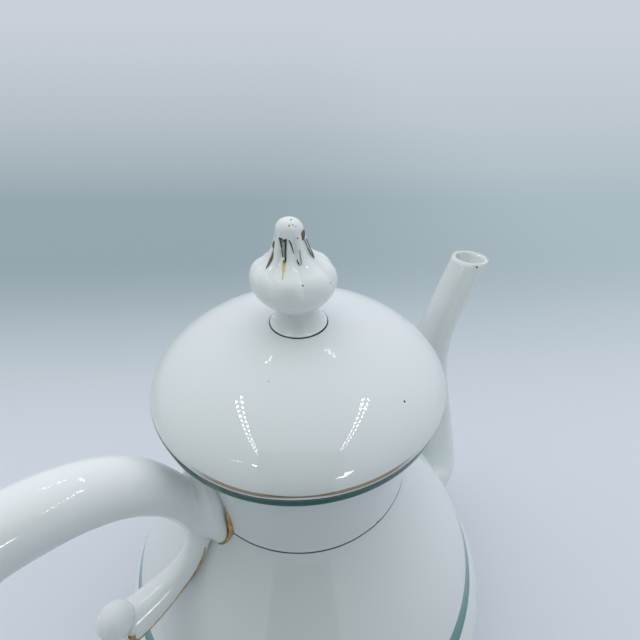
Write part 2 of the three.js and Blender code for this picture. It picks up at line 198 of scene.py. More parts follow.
# Spout: its centre line in the XZ plane with its outer radius
SPOUT_STATIONS = [
    (60, 37, 23.5), (70, 38, 24), (77, 41, 25.8), (86, 47.5, 24.2), (89.2, 56, 19.7), (90.6, 67, 15.7),
    (90.4, 80, 12.4), (87.4, 95, 10.4), (83, 110, 9.6), (80.2, 127, 8.8), (83.4, 143, 7.8), (90.8, 157, 7.7),
    (100.2, 172, 7.8), (106.2, 183, 7.9),
]
# Wall at the root and at the end; the higher the power, the nearer to the end it thins
SPOUT_WALL = 2.6
BEAK_WALL = 1.1
BEAK_WALL_POWER = 4
# The bore runs on to here, so that it doesn't end in one plane with the spout
BORE_END = (112, 194, 6.8)
# Cut of the beak: its middle, its tilt in degrees and the size of the block that is taken away
BEAK_CENTRE = (98.9, 171.0)
BEAK_TILT = 6
BEAK_CUT_SIZE = 40

# Handle: its centre line in the XZ plane with its radius, and how much wider it is across
HANDLE_STATIONS = [
    (-64, 43, 9.6), (-77, 50, 9), (-91, 61, 8.4), (-104, 79, 8.2), (-112.5, 102, 8.3), (-115, 126, 8.5),
    (-110, 149, 8.7), (-95, 164.2, 8.7), (-77, 165.6, 8.5), (-62, 159.6, 7.9), (-52.2, 147.6, 6.7),
    (-47, 134.5, 5.6), (-45.3, 122, 4.6), (-46.9, 112.8, 4), (-51, 106.2, 3.9), (-57.4, 101.7, 4.3),
    (-65.4, 98.9, 5.3), (-73.7, 97.3, 6), (-76.8, 98.3, 5.6),
]
HANDLE_WIDEN = 1.08
# Root pad on the neck: its centre, the half sizes of its two bulges and how square they are
ROOT_CENTRE = (-41, 130)
ROOT_HALF = (4.6, 9.9, 18)
ROOT_RISE_HALF = (8.6, 7.6, 15.5)
ROOT_SQUARENESS = 3.2
# Ball at the spur's end
BALL_RADIUS = 5.7
BALL_CENTRE = (-77.6, 103.1)

# Gilding in the corner round the handle's root: place across, height and radius, on either side
ROOT_GILT = [
    (9.6, 136.4, 0.15), (9.7, 133.4, 0.35), (9.9, 130.2, 0.8), (9.6, 124.5, 1.0), (9.1, 119.7, 0.95),
    (8.7, 117.3, 0.8), (7.5, 115, 0.55), (6.1, 113.7, 0.15),
]
# Gilt line down either side of the spur: share of the way, angle below the side and radius
SPUR_GILT = [(0, 4, 0.3), (0.2, 12, 0.5), (0.4, 24, 0.45), (0.82, 26, 0.45), (0.92, 10, 0.8), (1, -14, 1.2)]
# The spur's gilding starts below this height in front of this place on X, and ends some steps early
SPUR_GILT_TOP = 114.5
SPUR_GILT_FRONT = -60
SPUR_GILT_SHORT = 2
# Share of its radius by which the spur's gilt line sinks into the clay
GILT_SINK = 0.35

# Joining: how deep spout and handle reach into the pot's wall, and how the handle's seams are rounded
TRIM_DEPTH = 1.5
TRIM_RISE = 1
SEAM_VOXEL = 0.6
SEAM_ROUNDS = 14
SEAM_SMOOTHING = 0.5

# Small firing specks, and two dark marks at the spout's beak that are partly painted shade: place in
# millimetres from the pot's axis, radius and strength
LID_SPECKS = [
    ((6.43, -37.91, 173.44), 0.42, 1.0), ((-20.56, -12.66, 180.01), 0.3, 0.5),
    ((36.6, -12.64, 173.26), 0.4, 0.8),
]
POT_SPECKS = [((0.13, -39.22, 121.2), 0.55, 0.9), ((-9.73, -38.9, 143.0), 0.3, 0.5)]
KNOB_SPECKS = [
    ((-1.17, -0.23, 216.39), 0.35, 0.9), ((-2.8, -1.33, 215.55), 0.3, 0.8),
    ((-1.85, -1.71, 215.62), 0.24, 0.7), ((-1.3, -2.24, 215.14), 0.2, 0.6),
    ((-1.53, -3.21, 212.3), 0.3, 0.8), ((-5.21, -9.27, 202.14), 0.35, 0.8),
    ((3.2, -10.82, 200.33), 0.35, 0.6),
]
HANDLE_SPECKS = [
    ((-54.6, -1.8, 162.1), 0.4, 0.9), ((-54.2, -1.2, 162.1), 0.4, 0.9), ((-42.41, -6.94, 139.5), 0.4, 0.8),
    ((-50.98, -6.86, 145.0), 0.25, 0.4),
]
# The beak's two marks are partly a stain and partly painted shade that stands in for a small notch in its
# edge
SPOUT_STAIN_AND_NOTCH_SHADE = [((94.6, -6.3, 170.4), 0.75, 0.9), ((95.2, -6.4, 169.6), 0.5, 0.7)]
# Share of a speck's radius inside which it is full
SPECK_CORE = 0.6

# Camera, fitted to the circles of the lid, the neck and the body's band
CAMERA_FROM_AXIS = (-65.42, -83.73, 259.7)
CAMERA_RIGHT = (0.7473, -0.6645, 0.0012)
CAMERA_FORWARD = (0.5403, 0.6071, -0.5827)
FOCAL_PIXELS = 426.12
PHOTO_PIXELS = 640
SENSOR_WIDTH = 36
CLIP_START = 10

# Level directions away from the camera and to its right
AWAY = (0.665, 0.747)
RIGHTWARDS = (AWAY[1], -AWAY[0])

# Fineness: sides of round shapes, steps in each span of a curve, and rounds of a bevel
LATHE_STEPS = 180
KNOB_STEPS = 256
TRIM_STEPS = 96
BAR_SIDES = 48
BALL_SIDES = 48
BALL_RINGS = 32
PIN_SIDES = 24
BAR_STEPS = 8
CURVE_STEPS = 14
LIP_STEPS = 5
NECK_STEPS = 12
RIM_STEPS = 10
DOME_STEPS = 28
HOLLOW_STEPS = 12
KNOB_CURVE_STEPS = 5
LEAN_STEPS = 12
STROKE_STEPS = 6
ROOT_GILT_STEPS = 6
SPUR_GILT_STEPS = 24
WIRE_BEVEL = 3
# Rounded edges of foot and flange: how far in they begin and how far in their middle lies
EDGE = 1
EDGE_BEND = 0.3
# Values below this count as none
TINY = 1e-6

# Colours
PORCELAIN = (0.80, 0.835, 0.845)
# A lighter copy of the porcelain for the handle and the knob: painted light, standing in for light on them
# that the lamps here don't give
PAINTED_LIGHT_PORCELAIN = (0.90, 0.93, 0.93)
TEAL = (0.006, 0.118, 0.09)
BODY_TEAL = (0.045, 0.225, 0.205)
NAVY = (0.012, 0.018, 0.045)
GOLD = (0.30, 0.195, 0.08)
# Surfaces of one colour: the colour and the roughness
BARE_PORCELAIN = ((0.72, 0.68, 0.60), 0.7)
DARK_PAINT = ((0.022, 0.02, 0.02), 0.2)
GREY_PAINT = ((0.33, 0.34, 0.34), 0.15)
CARD_SURFACE = ((0.06, 0.065, 0.07), 0.9)
# Gilding: its light tone, its dark tone and how metallic it is
WORN_GILDING = ((0.62, 0.38, 0.13), (0.34, 0.20, 0.07), 0.35)
BROWN_GILDING = ((0.17, 0.12, 0.055), (0.08, 0.06, 0.035), 0.25)
BRIGHT_GILDING = ((0.56, 0.44, 0.17), (0.22, 0.15, 0.05), 0.5)
GILDING_ROUGHNESS = 0.3
# Glaze: its finish, how dull its patches are and how much it and the rim's teal reflect
GLAZE_ROUGHNESS = 0.035
GLAZE_IOR = 1.5
GLAZE_DULL = 0.985
GLAZE_SHINE = 0.5
TEAL_SHINE = 0.08
# Uneven patches: noise scale, its detail and the two values that it is drawn apart between
GLAZE_PATCHES = (0.02, 2, 0.35, 0.65)
GILDING_PATCHES = (0.35, 3, 0.42, 0.62)
WORN_PATCHES = (0.06, 3, 0.12, 0.3)
THIN_PATCHES = (0.03, 1, 0.4, 0.6)

# Floor: its tones, with painted shade in a dark band behind the pot that is darker on its left, and where
# they change in millimetres from the pot's axis
FLOOR_HALF = 20000
FLOOR_ROUGHNESS = 0.9
FLOOR_NEAR = (0.66, 0.697, 0.744)
FLOOR_PAINTED_SHADE = (0.31, 0.385, 0.41)
FLOOR_PAINTED_HALF_SHADE = (0.42, 0.50, 0.53)
FLOOR_FAR = (0.63, 0.65, 0.685)
FLOOR_SKEW = -0.05
FLOOR_SIDE = (-150, 450)
FLOOR_FADE = (60, 400)
FLOOR_LIGHTEN = 600

# Strips of small lamps over the pot: the ends of each strip's middle line, forwards and sideways
STRIP_HEIGHT = 560
STRIP_STRENGTH = 22
STRIP_LINES = [
    ((-365, -190), (20, -244)),
    ((-353, 196), (35, 269)),
    ((150, -133), (265, -38)),
    ((190, 131), (283, 27)),
]
# Spacing of the lamps along a strip, and a lamp's length and largest width
STRIP_STEP = 24
STRIP_DOT = (12, 12)
# How far they are off the middle line at the strip's start and at its end; they widen with it
STRIP_SPREAD = (3.5, 14)
# Larger lit patches: centre and size, forwards and sideways
LIGHT_PATCHES = [
    ((-450, -248), (26, 64)), ((-418, -395), (7, 110)), ((-775, 440), (210, 115)), ((-455, 119), (4, 66)),
]
PATCH_STRENGTH = 16

# Dark cards that keep light off the pot's near side, one close behind the camera and one further back
NEAR_CARD_SIZE = (130, 70)
NEAR_CARD_BACK = 12
NEAR_CARD_DROP = 20
FAR_CARD_SIZE = (380, 780)
FAR_CARD_BACK = 420
FAR_CARD_LIFT = 1

# Light from around for red, green and blue: its gain upwards, away from the camera and to its right
SKY = [(1.39, 0.24, 0.02), (1.46, 0.17, 0.02), (1.51, 0.27, 0.04)]
SKY_LEAST = 0.02
# The colour that the camera, the glaze and glass see instead
BACKDROP = (0.584, 0.631, 0.687)


# Building blocks
def at(x, y, z):
    """Place in the frame of a point given in millimetres from the pot's axis."""
    return Vector((AXIS_X + x * MM, y * MM, z * MM))


def new_object(name, bm, materials, smooth=True):
    mesh = bpy.data.meshes.new(name)
    bm.to_mesh(mesh)
    bm.free()
    piece = bpy.data.objects.new(name, mesh)
    bpy.context.scene.collection.objects.link(piece)
    for material in materials:
        mesh.materials.append(material)
    for face in mesh.polygons:
        face.use_smooth = smooth
    return piece


def ramp(value, low, high):
    """Share of the way from low to high, held between 0 and 1."""
    return min(max((value - low) / (high - low), 0), 1)


def read_off(points, place):
    """Value at a place along points of a place and a value, held at both ends."""
    if place <= points[0][0]:
        return points[0][1]
    for low, high in zip(points, points[1:]):
        if low[0] <= place <= high[0]:
            return low[1] + (high[1] - low[1]) * (place - low[0]) / (high[0] - low[0])
    return points[-1][1]


def bezier(start, first, second, end, steps):
    """Curve after its start, up to its end, drawn by two handles."""
    points = []
    for step in range(1, steps + 1):
        t = step / steps
        s = 1 - t
        weights = (s ** 3, 3 * s * s * t, 3 * s * t * t, t ** 3)
        points.append(tuple(
            sum(weight * point[axis] for weight, point in zip(weights, (start, first, second, end)))
            for axis in (0, 1)
        ))
    return points


def spline(points, per_span):
    """Curve through the points, any number of values each, with even steps in each span."""
    out = []
    for index in range(len(points) - 1):
        around = [points[min(max(index + shift, 0), len(points) - 1)] for shift in (-1, 0, 1, 2)]
        for step in range(per_span):
            t = step / per_span
            weights = (
                -0.5 * t + t * t - 0.5 * t ** 3,
                1 - 2.5 * t * t + 1.5 * t ** 3,
                0.5 * t + 2 * t * t - 1.5 * t ** 3,
                -0.5 * t * t + 0.5 * t ** 3,
            )
            out.append(tuple(
                sum(weight * point[axis] for weight, point in zip(weights, around))
                for axis in range(len(points[0]))
            ))
    out.append(tuple(points[-1]))
    return out


def lathe(name, outline, materials, shape=None, steps=LATHE_STEPS):
    """Turned body about the pot's axis from a closed outline, or one that ends on the axis."""
    bm = bmesh.new()
    rings = []
    for radius, height in outline:
        if radius < TINY:
            rings.append([bm.verts.new(at(0, 0, height))])
            continue
        ring = []
        for step in range(steps):
            angle = math.tau * step / steps
            reach = shape(radius, height, angle) if shape else radius
            ring.append(bm.verts.new(at(reach * math.cos(angle), reach * math.sin(angle), height)))
        rings.append(ring)
    closed = len(rings[0]) > 1 and len(rings[-1]) > 1
    pairs = list(zip(rings, rings[1:]))
    if closed:
        pairs.append((rings[-1], rings[0]))
    for low, high in pairs:
        for step in range(steps):
            after = (step + 1) % steps
            if len(low) == 1:
                bm.faces.new((low[0], high[after], high[step]))
            elif len(high) == 1:
                bm.faces.new((low[step], low[after], high[0]))
            else:
                bm.faces.new((low[step], low[after], high[after], high[step]))
    bmesh.ops.recalc_face_normals(bm, faces=bm.faces)
    return new_object(name, bm, materials)


def skin(bm, rings, material=0):
    """Closes a row of rings into a bar with flat ends."""
    for low, high in zip(rings, rings[1:]):
        for side in range(len(low)):
            after = (side + 1) % len(low)
            face = bm.faces.new((low[side], low[after], high[after], high[side]))
            face.material_index = material
    for ring in (rings[0], rings[-1]):
        bm.faces.new(ring).material_index = material


def tube(name, stations, materials, widen=1):
    """Closed round bar along stations in the XZ plane."""
    line = spline(stations, BAR_STEPS)
    bm = bmesh.new()
    rings = []
    for index, (x, z, radius) in enumerate(line):
        before = line[max(index - 1, 0)]
        after = line[min(index + 1, len(line) - 1)]
        along = Vector((after[0] - before[0], 0, after[1] - before[1])).normalized()
        outward = Vector((along.z, 0, -along.x))
        ring = []
        for side in range(BAR_SIDES):
            angle = math.tau * side / BAR_SIDES
            reach = radius * math.cos(angle)
            across = radius * widen * math.sin(angle)
            ring.append(bm.verts.new(at(x + outward.x * reach, across, z + outward.z * reach)))
        rings.append(ring)
    skin(bm, rings)
    bmesh.ops.recalc_face_normals(bm, faces=bm.faces)
    return new_object(name, bm, materials)


def settle(piece):
    """Applies the piece's modifiers to its mesh."""
    graph = bpy.context.evaluated_depsgraph_get()
    mesh = bpy.data.meshes.new_from_object(piece.evaluated_get(graph))
    old = piece.data
    piece.modifiers.clear()
    piece.data = mesh
    bpy.data.meshes.remove(old)
    for face in mesh.polygons:
        face.use_smooth = True


def combine(piece, other, operation):
    """Joins the other object to the piece or cuts it out of it, and removes it."""
    modifier = piece.modifiers.new(operation.lower(), "BOOLEAN")
    modifier.object = other
    modifier.operation = operation
    modifier.solver = "EXACT"
    settle(piece)
    bpy.data.objects.remove(other)


def blend_seams(piece):
    """Rounds the seams of a joined piece by a fine remesh and a smoothing."""
    remesh = piece.modifiers.new("remesh", "REMESH")
    remesh.mode = "VOXEL"
    remesh.voxel_size = SEAM_VOXEL * MM
    smooth = piece.modifiers.new("smooth", "SMOOTH")
    smooth.factor = SEAM_SMOOTHING
    smooth.iterations = SEAM_ROUNDS
    settle(piece)


# Outlines of the pot and the lid
def pot_outside():
    """Radius and height from the foot ring's outside up to the neck's foot."""
    lift = BELLY_HEIGHT - FOOT_HEIGHT
    turn = (SHOULDER_HEIGHT - BELLY_HEIGHT) * BELLY_EASE
    above = SHOULDER_HEIGHT - BELLY_HEIGHT - turn
    reach = (NECK_FOOT_HEIGHT - SHOULDER_HEIGHT) * NECK_EASE
    base = (BASE_RADIUS, FOOT_HEIGHT)
    belly = (BELLY_RADIUS, BELLY_HEIGHT)
    shoulder = (SHOULDER_RADIUS, SHOULDER_HEIGHT)
    neck = (NECK_FOOT_RADIUS, NECK_FOOT_HEIGHT)
    points = [base]
    points += bezier(
        base,
        (BASE_RADIUS + (BELLY_RADIUS - BASE_RADIUS) * BASE_HANDLE[0], FOOT_HEIGHT + lift * BASE_HANDLE[1]),
        (BELLY_RADIUS, BELLY_HEIGHT - lift * BELLY_HANDLE),
        belly, CURVE_STEPS)
    points += bezier(
        belly,
        (BELLY_RADIUS, BELLY_HEIGHT + turn),
        (SHOULDER_RADIUS + SHOULDER_FLARE * above, SHOULDER_HEIGHT - above),
        shoulder, CURVE_STEPS)
    points += bezier(
        shoulder,
        (SHOULDER_RADIUS - SHOULDER_FLARE * reach, SHOULDER_HEIGHT + reach),
        (NECK_FOOT_RADIUS + NECK_FOOT_FLARE * reach, NECK_FOOT_HEIGHT - reach),
        neck, CURVE_STEPS)
    return points


def inward(points, distance):
    """The outline moved square to itself towards the axis."""
    out = []
    for index, (radius, height) in enumerate(points):
        before = points[max(index - 1, 0)]
        after = points[min(index + 1, len(points) - 1)]
        along = Vector((after[0] - before[0], after[1] - before[1])).normalized()
        out.append((radius - along.y * distance, height + along.x * distance))
    return out


def foot_outline():
    """The foot ring's underside and rounded edges, from the axis outwards."""
    inner = FOOT_OUTER_RADIUS - FOOT_RING_WIDTH
    outer = FOOT_OUTER_RADIUS
    return [
        (0, FOOT_HEIGHT), (inner - EDGE, FOOT_HEIGHT), (inner, FOOT_HEIGHT - EDGE), (inner, EDGE),
        (inner + EDGE_BEND, EDGE_BEND), (inner + EDGE, 0), (outer - EDGE, 0), (outer - EDGE_BEND, EDGE_BEND),
        (outer, EDGE),
    ] + [(outer + out, FOOT_HEIGHT + up) for out, up in FOOT_CORNER]


def pot_outline():
    """Foot ring, outside, mouth and inside of the pot, from the axis and back to it."""
    outside = pot_outside()
    inside = inward(outside, POT_WALL)
    edge = MOUTH_HEIGHT - MOUTH_ROUNDING
    inner = MOUTH_RADIUS - POT_WALL
    corner = (MOUTH_RADIUS, MOUTH_HEIGHT)
    mouth = bezier(
        (MOUTH_RADIUS, edge), corner, corner, (MOUTH_RADIUS - MOUTH_ROUNDING, MOUTH_HEIGHT), LIP_STEPS)
    corner = (inner, MOUTH_HEIGHT)
    lip = bezier((inner + MOUTH_ROUNDING, MOUTH_HEIGHT), corner, corner, (inner, edge), LIP_STEPS)
    start = next(index for index, point in enumerate(outside) if point[0] > FOOT_OUTER_RADIUS + FOOT_COVER)
    neck = []
    for step in range(1, NECK_STEPS + 1):
        share = step / NECK_STEPS
        neck.append((
            NECK_FOOT_RADIUS + (MOUTH_RADIUS - NECK_FOOT_RADIUS) * share,
            NECK_FOOT_HEIGHT + (edge - NECK_FOOT_HEIGHT) * share))
    inner_neck = [
        (inner, edge - NECK_INSIDE_GAP),
        (NECK_FOOT_RADIUS - POT_WALL, NECK_FOOT_HEIGHT + NECK_INSIDE_GAP),
    ]
    inner_wall = inside[-2:0:-1]
    floor = [(BASE_RADIUS * INSIDE_FLOOR, FOOT_HEIGHT + POT_WALL), (0, FOOT_HEIGHT + POT_WALL)]
    return foot_outline() + outside[start:] + neck + mouth + lip + inner_neck + inner_wall + floor


def solid_outline(distance):
    """Outline of the pot's outside moved inwards, as a full solid for trimming."""
    outside = inward(pot_outside(), distance)
    top = MOUTH_HEIGHT + TRIM_RISE
    return [(0, FOOT_HEIGHT + distance), *outside, (MOUTH_RADIUS - distance, top), (0, top)]


def lid_outline():
    """The lid's hollow and flange from the axis outwards, then its rim and dome back to the axis."""
    seat = MOUTH_HEIGHT + SEAT_GAP
    rim = RIM_HEIGHT
    outside = [(RIM_RADIUS - back, rim + up) for back, up in RIM_ROUNDING]
    outside += bezier(
        outside[-1], (RIM_RADIUS + RIM_HANDLE[0], rim + RIM_HANDLE[1]),
        (LID_MAX_RADIUS, rim + LID_MAX_HEIGHT - RIM_TOP_HANDLE),
        (LID_MAX_RADIUS, rim + LID_MAX_HEIGHT), RIM_STEPS)
    for step in range(1, DOME_STEPS + 1):
        angle = step / DOME_STEPS * math.pi / 2
        radius = LID_MAX_RADIUS * max(math.cos(angle), 0) ** DOME_SPREAD
        rise = (DOME_HEIGHT - LID_MAX_HEIGHT) * math.sin(angle) ** DOME_RISE
        outside.append((radius if step < DOME_STEPS else 0, rim + LID_MAX_HEIGHT + rise))
    outer = FLANGE_OUTER_RADIUS
    inner = outer - FLANGE_WALL
    bottom = MOUTH_HEIGHT - FLANGE_DEPTH
    crown = rim + DOME_HEIGHT - LID_WALL
    under = [(0, crown)]
    under += bezier(
        (0, crown), (inner * HOLLOW_FLAT, crown), (inner, crown - HOLLOW_DROP), (inner, seat + HOLLOW_FROM),
        HOLLOW_STEPS)
    under += [
        (inner, bottom + EDGE), (inner + EDGE_BEND, bottom + EDGE_BEND), (inner + EDGE, bottom),
        (outer - EDGE, bottom), (outer - EDGE_BEND, bottom + EDGE_BEND), (outer, bottom + EDGE),
    ]
    under += [(outer + out, seat - down) for out, down in SEAT_CORNER]
    under.append((MOUTH_RADIUS + SEAT_REACH, seat))
    return under + outside


# Materials
class Nodes:
    """Short spelling for building the node tree of a material or a world."""

    def __init__(self, owner):
        owner.use_nodes = True
        self.tree = owner.node_tree

    def put(self, socket, value):
        """Sets a socket to a value, or links it to another socket."""
        if isinstance(value, bpy.types.NodeSocket):
            self.tree.links.new(value, socket)
        else:
            socket.default_value = value

    def add(self, kind, *values, **settings):
        """New node with its settings, and with values or sockets for its first inputs."""
        node = self.tree.nodes.new("ShaderNode" + kind)
        for name, setting in settings.items():
            setattr(node, name, setting)
        for socket, value in zip(node.inputs, values):
            self.put(socket, value)
        return node

    def math(self, operation, *values):
        return self.add("Math", *values, operation=operation).outputs[0]

    def smooth(self, value, low, high):
        """Soft step from 0 at low to 1 at high."""
        return self.add("MapRange", value, low, high, interpolation_type="SMOOTHSTEP").outputs["Result"]

    def place(self):
        """Place in millimetres from the pot's axis."""
        place = self.add("TexCoord").outputs["Object"]
        scale = (1 / MM, 1 / MM, 1 / MM)
        return self.add("VectorMath", place, scale, (-AXIS_X / MM, 0, 0), operation="MULTIPLY_ADD").outputs[0]

    def split(self, place):
        """The x, y and z of a place."""
        return tuple(self.add("SeparateXYZ", place).outputs)

    def noise(self, place, scale, detail):
        node = self.add("TexNoise", place)
        node.inputs["Scale"].default_value = scale
        node.inputs["Detail"].default_value = detail
        return node.outputs[0]

    def waver(self, place, scale, size):
        """Uneven shift about zero, by which a hand-painted edge wanders."""
        return self.math("MULTIPLY", self.math("SUBTRACT", self.noise(place, scale, 2), 0.5), size)

    def patches(self, place, scale, detail, low, high):
        """Uneven patches, from noise that is drawn apart between low and high."""
        return self.smooth(self.noise(place, scale, detail), low, high)

    def mix(self, mask, low, high):
        """Colour low where the mask is 0 and high where it is 1."""
        node = self.add("Mix", mask, data_type="RGBA")
        for socket, colour in ((node.inputs[6], low), (node.inputs[7], high)):
            self.put(socket, colour if isinstance(colour, bpy.types.NodeSocket) else (*colour, 1))
        return node.outputs[2]


class Surface(Nodes):
    """Material whose shader's inputs are set by name."""

    def __init__(self, name):
        self.material = bpy.data.materials.new(name)
        super().__init__(self.material)

    def set(self, **inputs):
        """Sets or links inputs of the shader; an underscore stands for a space in an input's name."""
        shader = self.tree.nodes["Principled BSDF"]
        for name, value in inputs.items():
            self.put(shader.inputs[name.replace("_", " ")], value)


def band(nodes, value, low, high, soft):
    """One between low and high, fading over soft at both ends."""
    rising = nodes.smooth(value, low - soft, low + soft)
    falling = nodes.smooth(value, high + soft, high - soft)
    return nodes.math("MULTIPLY", rising, falling)


def from_axis(nodes, x, y):
    """Distance from the pot's axis."""
    return nodes.math("SQRT", nodes.math("MULTIPLY_ADD", x, x, nodes.math("MULTIPLY", y, y)))


def along(nodes, x, y, way):
    """How far a place lies from the pot's axis in a level direction."""
    return nodes.math("MULTIPLY_ADD", x, way[0], nodes.math("MULTIPLY", y, way[1]))


def specks(nodes, colour, place, centres):
    """Adds small dark specks that fade towards their edge."""
    for centre, radius, strength in centres:
        gap = nodes.add("VectorMath", place, centre, operation="DISTANCE").outputs["Value"]
        inside = nodes.smooth(gap, radius, radius * SPECK_CORE)
        colour = nodes.mix(nodes.math("MULTIPLY", inside, strength), colour, NAVY)
    return colour


def glaze(name, paint, base=PORCELAIN):
    """Glossy white porcelain; the paint function adds what is painted on it."""
    nodes = Surface(name)
    place = nodes.place()
    dull = tuple(part * GLAZE_DULL for part in base)
    colour = nodes.mix(nodes.patches(place, *GLAZE_PATCHES), base, dull)
    colour, metallic = paint(nodes, colour, place)
    nodes.set(Base_Color=colour, Metallic=metallic, Roughness=GLAZE_ROUGHNESS, IOR=GLAZE_IOR)
    return nodes.material


def paint_lid(nodes, colour, place):
    """Teal band on the rim, a dark line above it and a worn gilt line above that."""
    x, y, z = nodes.split(place)
    outside = nodes.smooth(from_axis(nodes, x, y), *RIM_PAINT_FROM)
    side = along(nodes, x, y, RIGHTWARDS)
    rise = nodes.math("MULTIPLY", nodes.smooth(side, *RIM_RISE_SIDE), RIM_RISE)
    shift = nodes.math("ADD", nodes.waver(place, *RIM_WAVER), rise)
    level = nodes.math("SUBTRACT", nodes.math("SUBTRACT", z, RIM_HEIGHT), shift)
    teal = nodes.math("MULTIPLY", outside, band(nodes, level, *RIM_BAND, RIM_SOFT))
    colour = nodes.mix(teal, colour, TEAL)
    nodes.set(Specular_IOR_Level=nodes.math("MULTIPLY_ADD", teal, TEAL_SHINE - GLAZE_SHINE, GLAZE_SHINE))
    line = nodes.math("MULTIPLY", outside, band(nodes, level, *RIM_LINE, LINE_SOFT))
    colour = nodes.mix(line, colour, NAVY)
    worn = nodes.patches(place, *WORN_PATCHES)
    kept = nodes.math("MULTIPLY", nodes.smooth(side, *GOLD_LEFT), nodes.smooth(side, *GOLD_RIGHT))
    half = nodes.math("MULTIPLY_ADD", nodes.patches(place, *THIN_PATCHES), -GOLD_THINNING, GOLD_HALF)
    gap = nodes.math("ABSOLUTE", nodes.math("SUBTRACT", level, GOLD_HEIGHT))
    line = nodes.smooth(nodes.math("SUBTRACT", gap, half), LINE_SOFT, -LINE_SOFT)
    gold = nodes.math("MULTIPLY", nodes.math("MULTIPLY", worn, kept), line)
    colour = nodes.mix(nodes.math("MULTIPLY", gold, GOLD_COVER), colour, GOLD)
    return specks(nodes, colour, place, LID_SPECKS), nodes.math("MULTIPLY", gold, GOLD_METALLIC)


def paint_pot(nodes, colour, place):
    """Teal band round the body and a dark line round the neck's foot."""
    x, y, z = nodes.split(place)
    across = from_axis(nodes, x, y)
    waver = nodes.waver(place, *BODY_WAVER)
    teal = band(nodes, nodes.math("ADD", z, waver), *BODY_BAND, BODY_SOFT)
    teal = nodes.math("MULTIPLY", nodes.smooth(across, *BODY_PAINT_FROM), teal)
    colour = nodes.mix(teal, colour, BODY_TEAL)
    level = nodes.math("ADD", z, nodes.math("MULTIPLY", waver, NECK_WAVER_SHARE))
    line = band(nodes, level, *NECK_LINE, LINE_SOFT)
    line = nodes.math("MULTIPLY", line, nodes.smooth(across, *NECK_PAINT_FROM))
    colour = nodes.mix(line, colour, NAVY)
    return specks(nodes, colour, place, POT_SPECKS), 0


def paint_knob(nodes, colour, place):
    """Dark line round the knob's foot, about the axis that the foot is shifted to."""
    x, y, z = nodes.split(place)
    shift = KNOB_LEAN[0][1]
    x = nodes.math("SUBTRACT", x, shift * RIGHTWARDS[0])
    y = nodes.math("SUBTRACT", y, shift * RIGHTWARDS[1])
    across = nodes.math("ADD", from_axis(nodes, x, y), nodes.waver(place, *KNOB_WAVER))
    ring = band(nodes, across, *KNOB_LINE, KNOB_SOFT)
    below = nodes.smooth(z, RIM_HEIGHT + KNOB_LINE_END[0], RIM_HEIGHT + KNOB_LINE_END[1])
    colour = nodes.mix(nodes.math("MULTIPLY", ring, below), colour, NAVY)
    return specks(nodes, colour, place, KNOB_SPECKS), 0


def paint_handle(nodes, colour, place):
    return specks(nodes, colour, place, HANDLE_SPECKS), 0


def paint_spout(nodes, colour, place):
    # The beak's marks: a stain, and painted shade standing in for a small notch in its edge
    return specks(nodes, colour, place, SPOUT_STAIN_AND_NOTCH_SHADE), 0


def gilding(name, light, dark, metallic):
    """Gilding with patches of its dark tone."""
    nodes = Surface(name)
    tone = nodes.mix(nodes.patches(nodes.place(), *GILDING_PATCHES), light, dark)
    nodes.set(Base_Color=tone, Metallic=metallic, Roughness=GILDING_ROUGHNESS)
    return nodes.material


def plain(name, colour, roughness):
    nodes = Surface(name)
    nodes.set(Base_Color=(*colour, 1), Roughness=roughness)
    return nodes.material


# Pot, with its spout and its handle
def strainer_pins(material):
    """Round bars along X where the strainer's holes go."""
    places = [(0, 0)]
    for step in range(STRAINER_RING):
        angle = math.tau * step / STRAINER_RING
        places.append((STRAINER_PITCH * math.cos(angle), STRAINER_PITCH * math.sin(angle)))
    start, end = STRAINER_REACH
    radius = STRAINER_HOLE_RADIUS * MM
    turn = Matrix.Rotation(math.pi / 2, 4, "Y")
    bm = bmesh.new()
    for across, rise in places:
        move = Matrix.Translation(at((start + end) / 2, across, STRAINER_HEIGHT + rise))
        bmesh.ops.create_cone(
            bm, cap_ends=True, segments=PIN_SIDES, radius1=radius, radius2=radius,
            depth=(end - start) * MM, matrix=move @ turn)
    return new_object("strainer_pins", bm, [material])


def make_pot(material, bare):
    pot = lathe("pot_body", pot_outline(), [material, bare])
    for face in pot.data.polygons:
        if face.center.z < BARE_FOOT_HEIGHT * MM:
            face.material_index = 1
    combine(pot, strainer_pins(material), "DIFFERENCE")
    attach(pot, "pot")
    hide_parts("body_shell", "neck_collar", "foot_ring")


def pot_trim(material):
    """Solid up to within the pot's wall, which takes away what would stand in its hollow."""
    return lathe("trim", solid_outline(TRIM_DEPTH), [material], steps=TRIM_STEPS)


def beak_cut(material):
    """Block that takes away what lies above the beak's edge."""
    size = BEAK_CUT_SIZE * MM
    move = Matrix.Translation(at(BEAK_CENTRE[0], 0, BEAK_CENTRE[1]))
    turn = Matrix.Rotation(math.radians(BEAK_TILT), 4, "Y")
    lift = Matrix.Translation((0, 0, size / 2))
    bm = bmesh.new()
    bmesh.ops.create_cube(bm, size=size)
    bmesh.ops.transform(bm, matrix=move @ turn @ lift, verts=bm.verts)
    return new_object("beak_cut", bm, [material])


def make_spout(material):
    spout = tube("spout_swan_neck", SPOUT_STATIONS, [material])
    bore = []
    for index, (x, z, radius) in enumerate(SPOUT_STATIONS):
        share = index / (len(SPOUT_STATIONS) - 1)
        bore.append((x, z, radius - SPOUT_WALL - (BEAK_WALL - SPOUT_WALL) * share ** BEAK_WALL_POWER))
    bore.append(BORE_END)
    combine(spout, tube("channel", bore, [material]), "DIFFERENCE")
    combine(spout, pot_trim(material), "DIFFERENCE")
    combine(spout, beak_cut(material), "DIFFERENCE")
    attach(spout, "pot")
    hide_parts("spout")


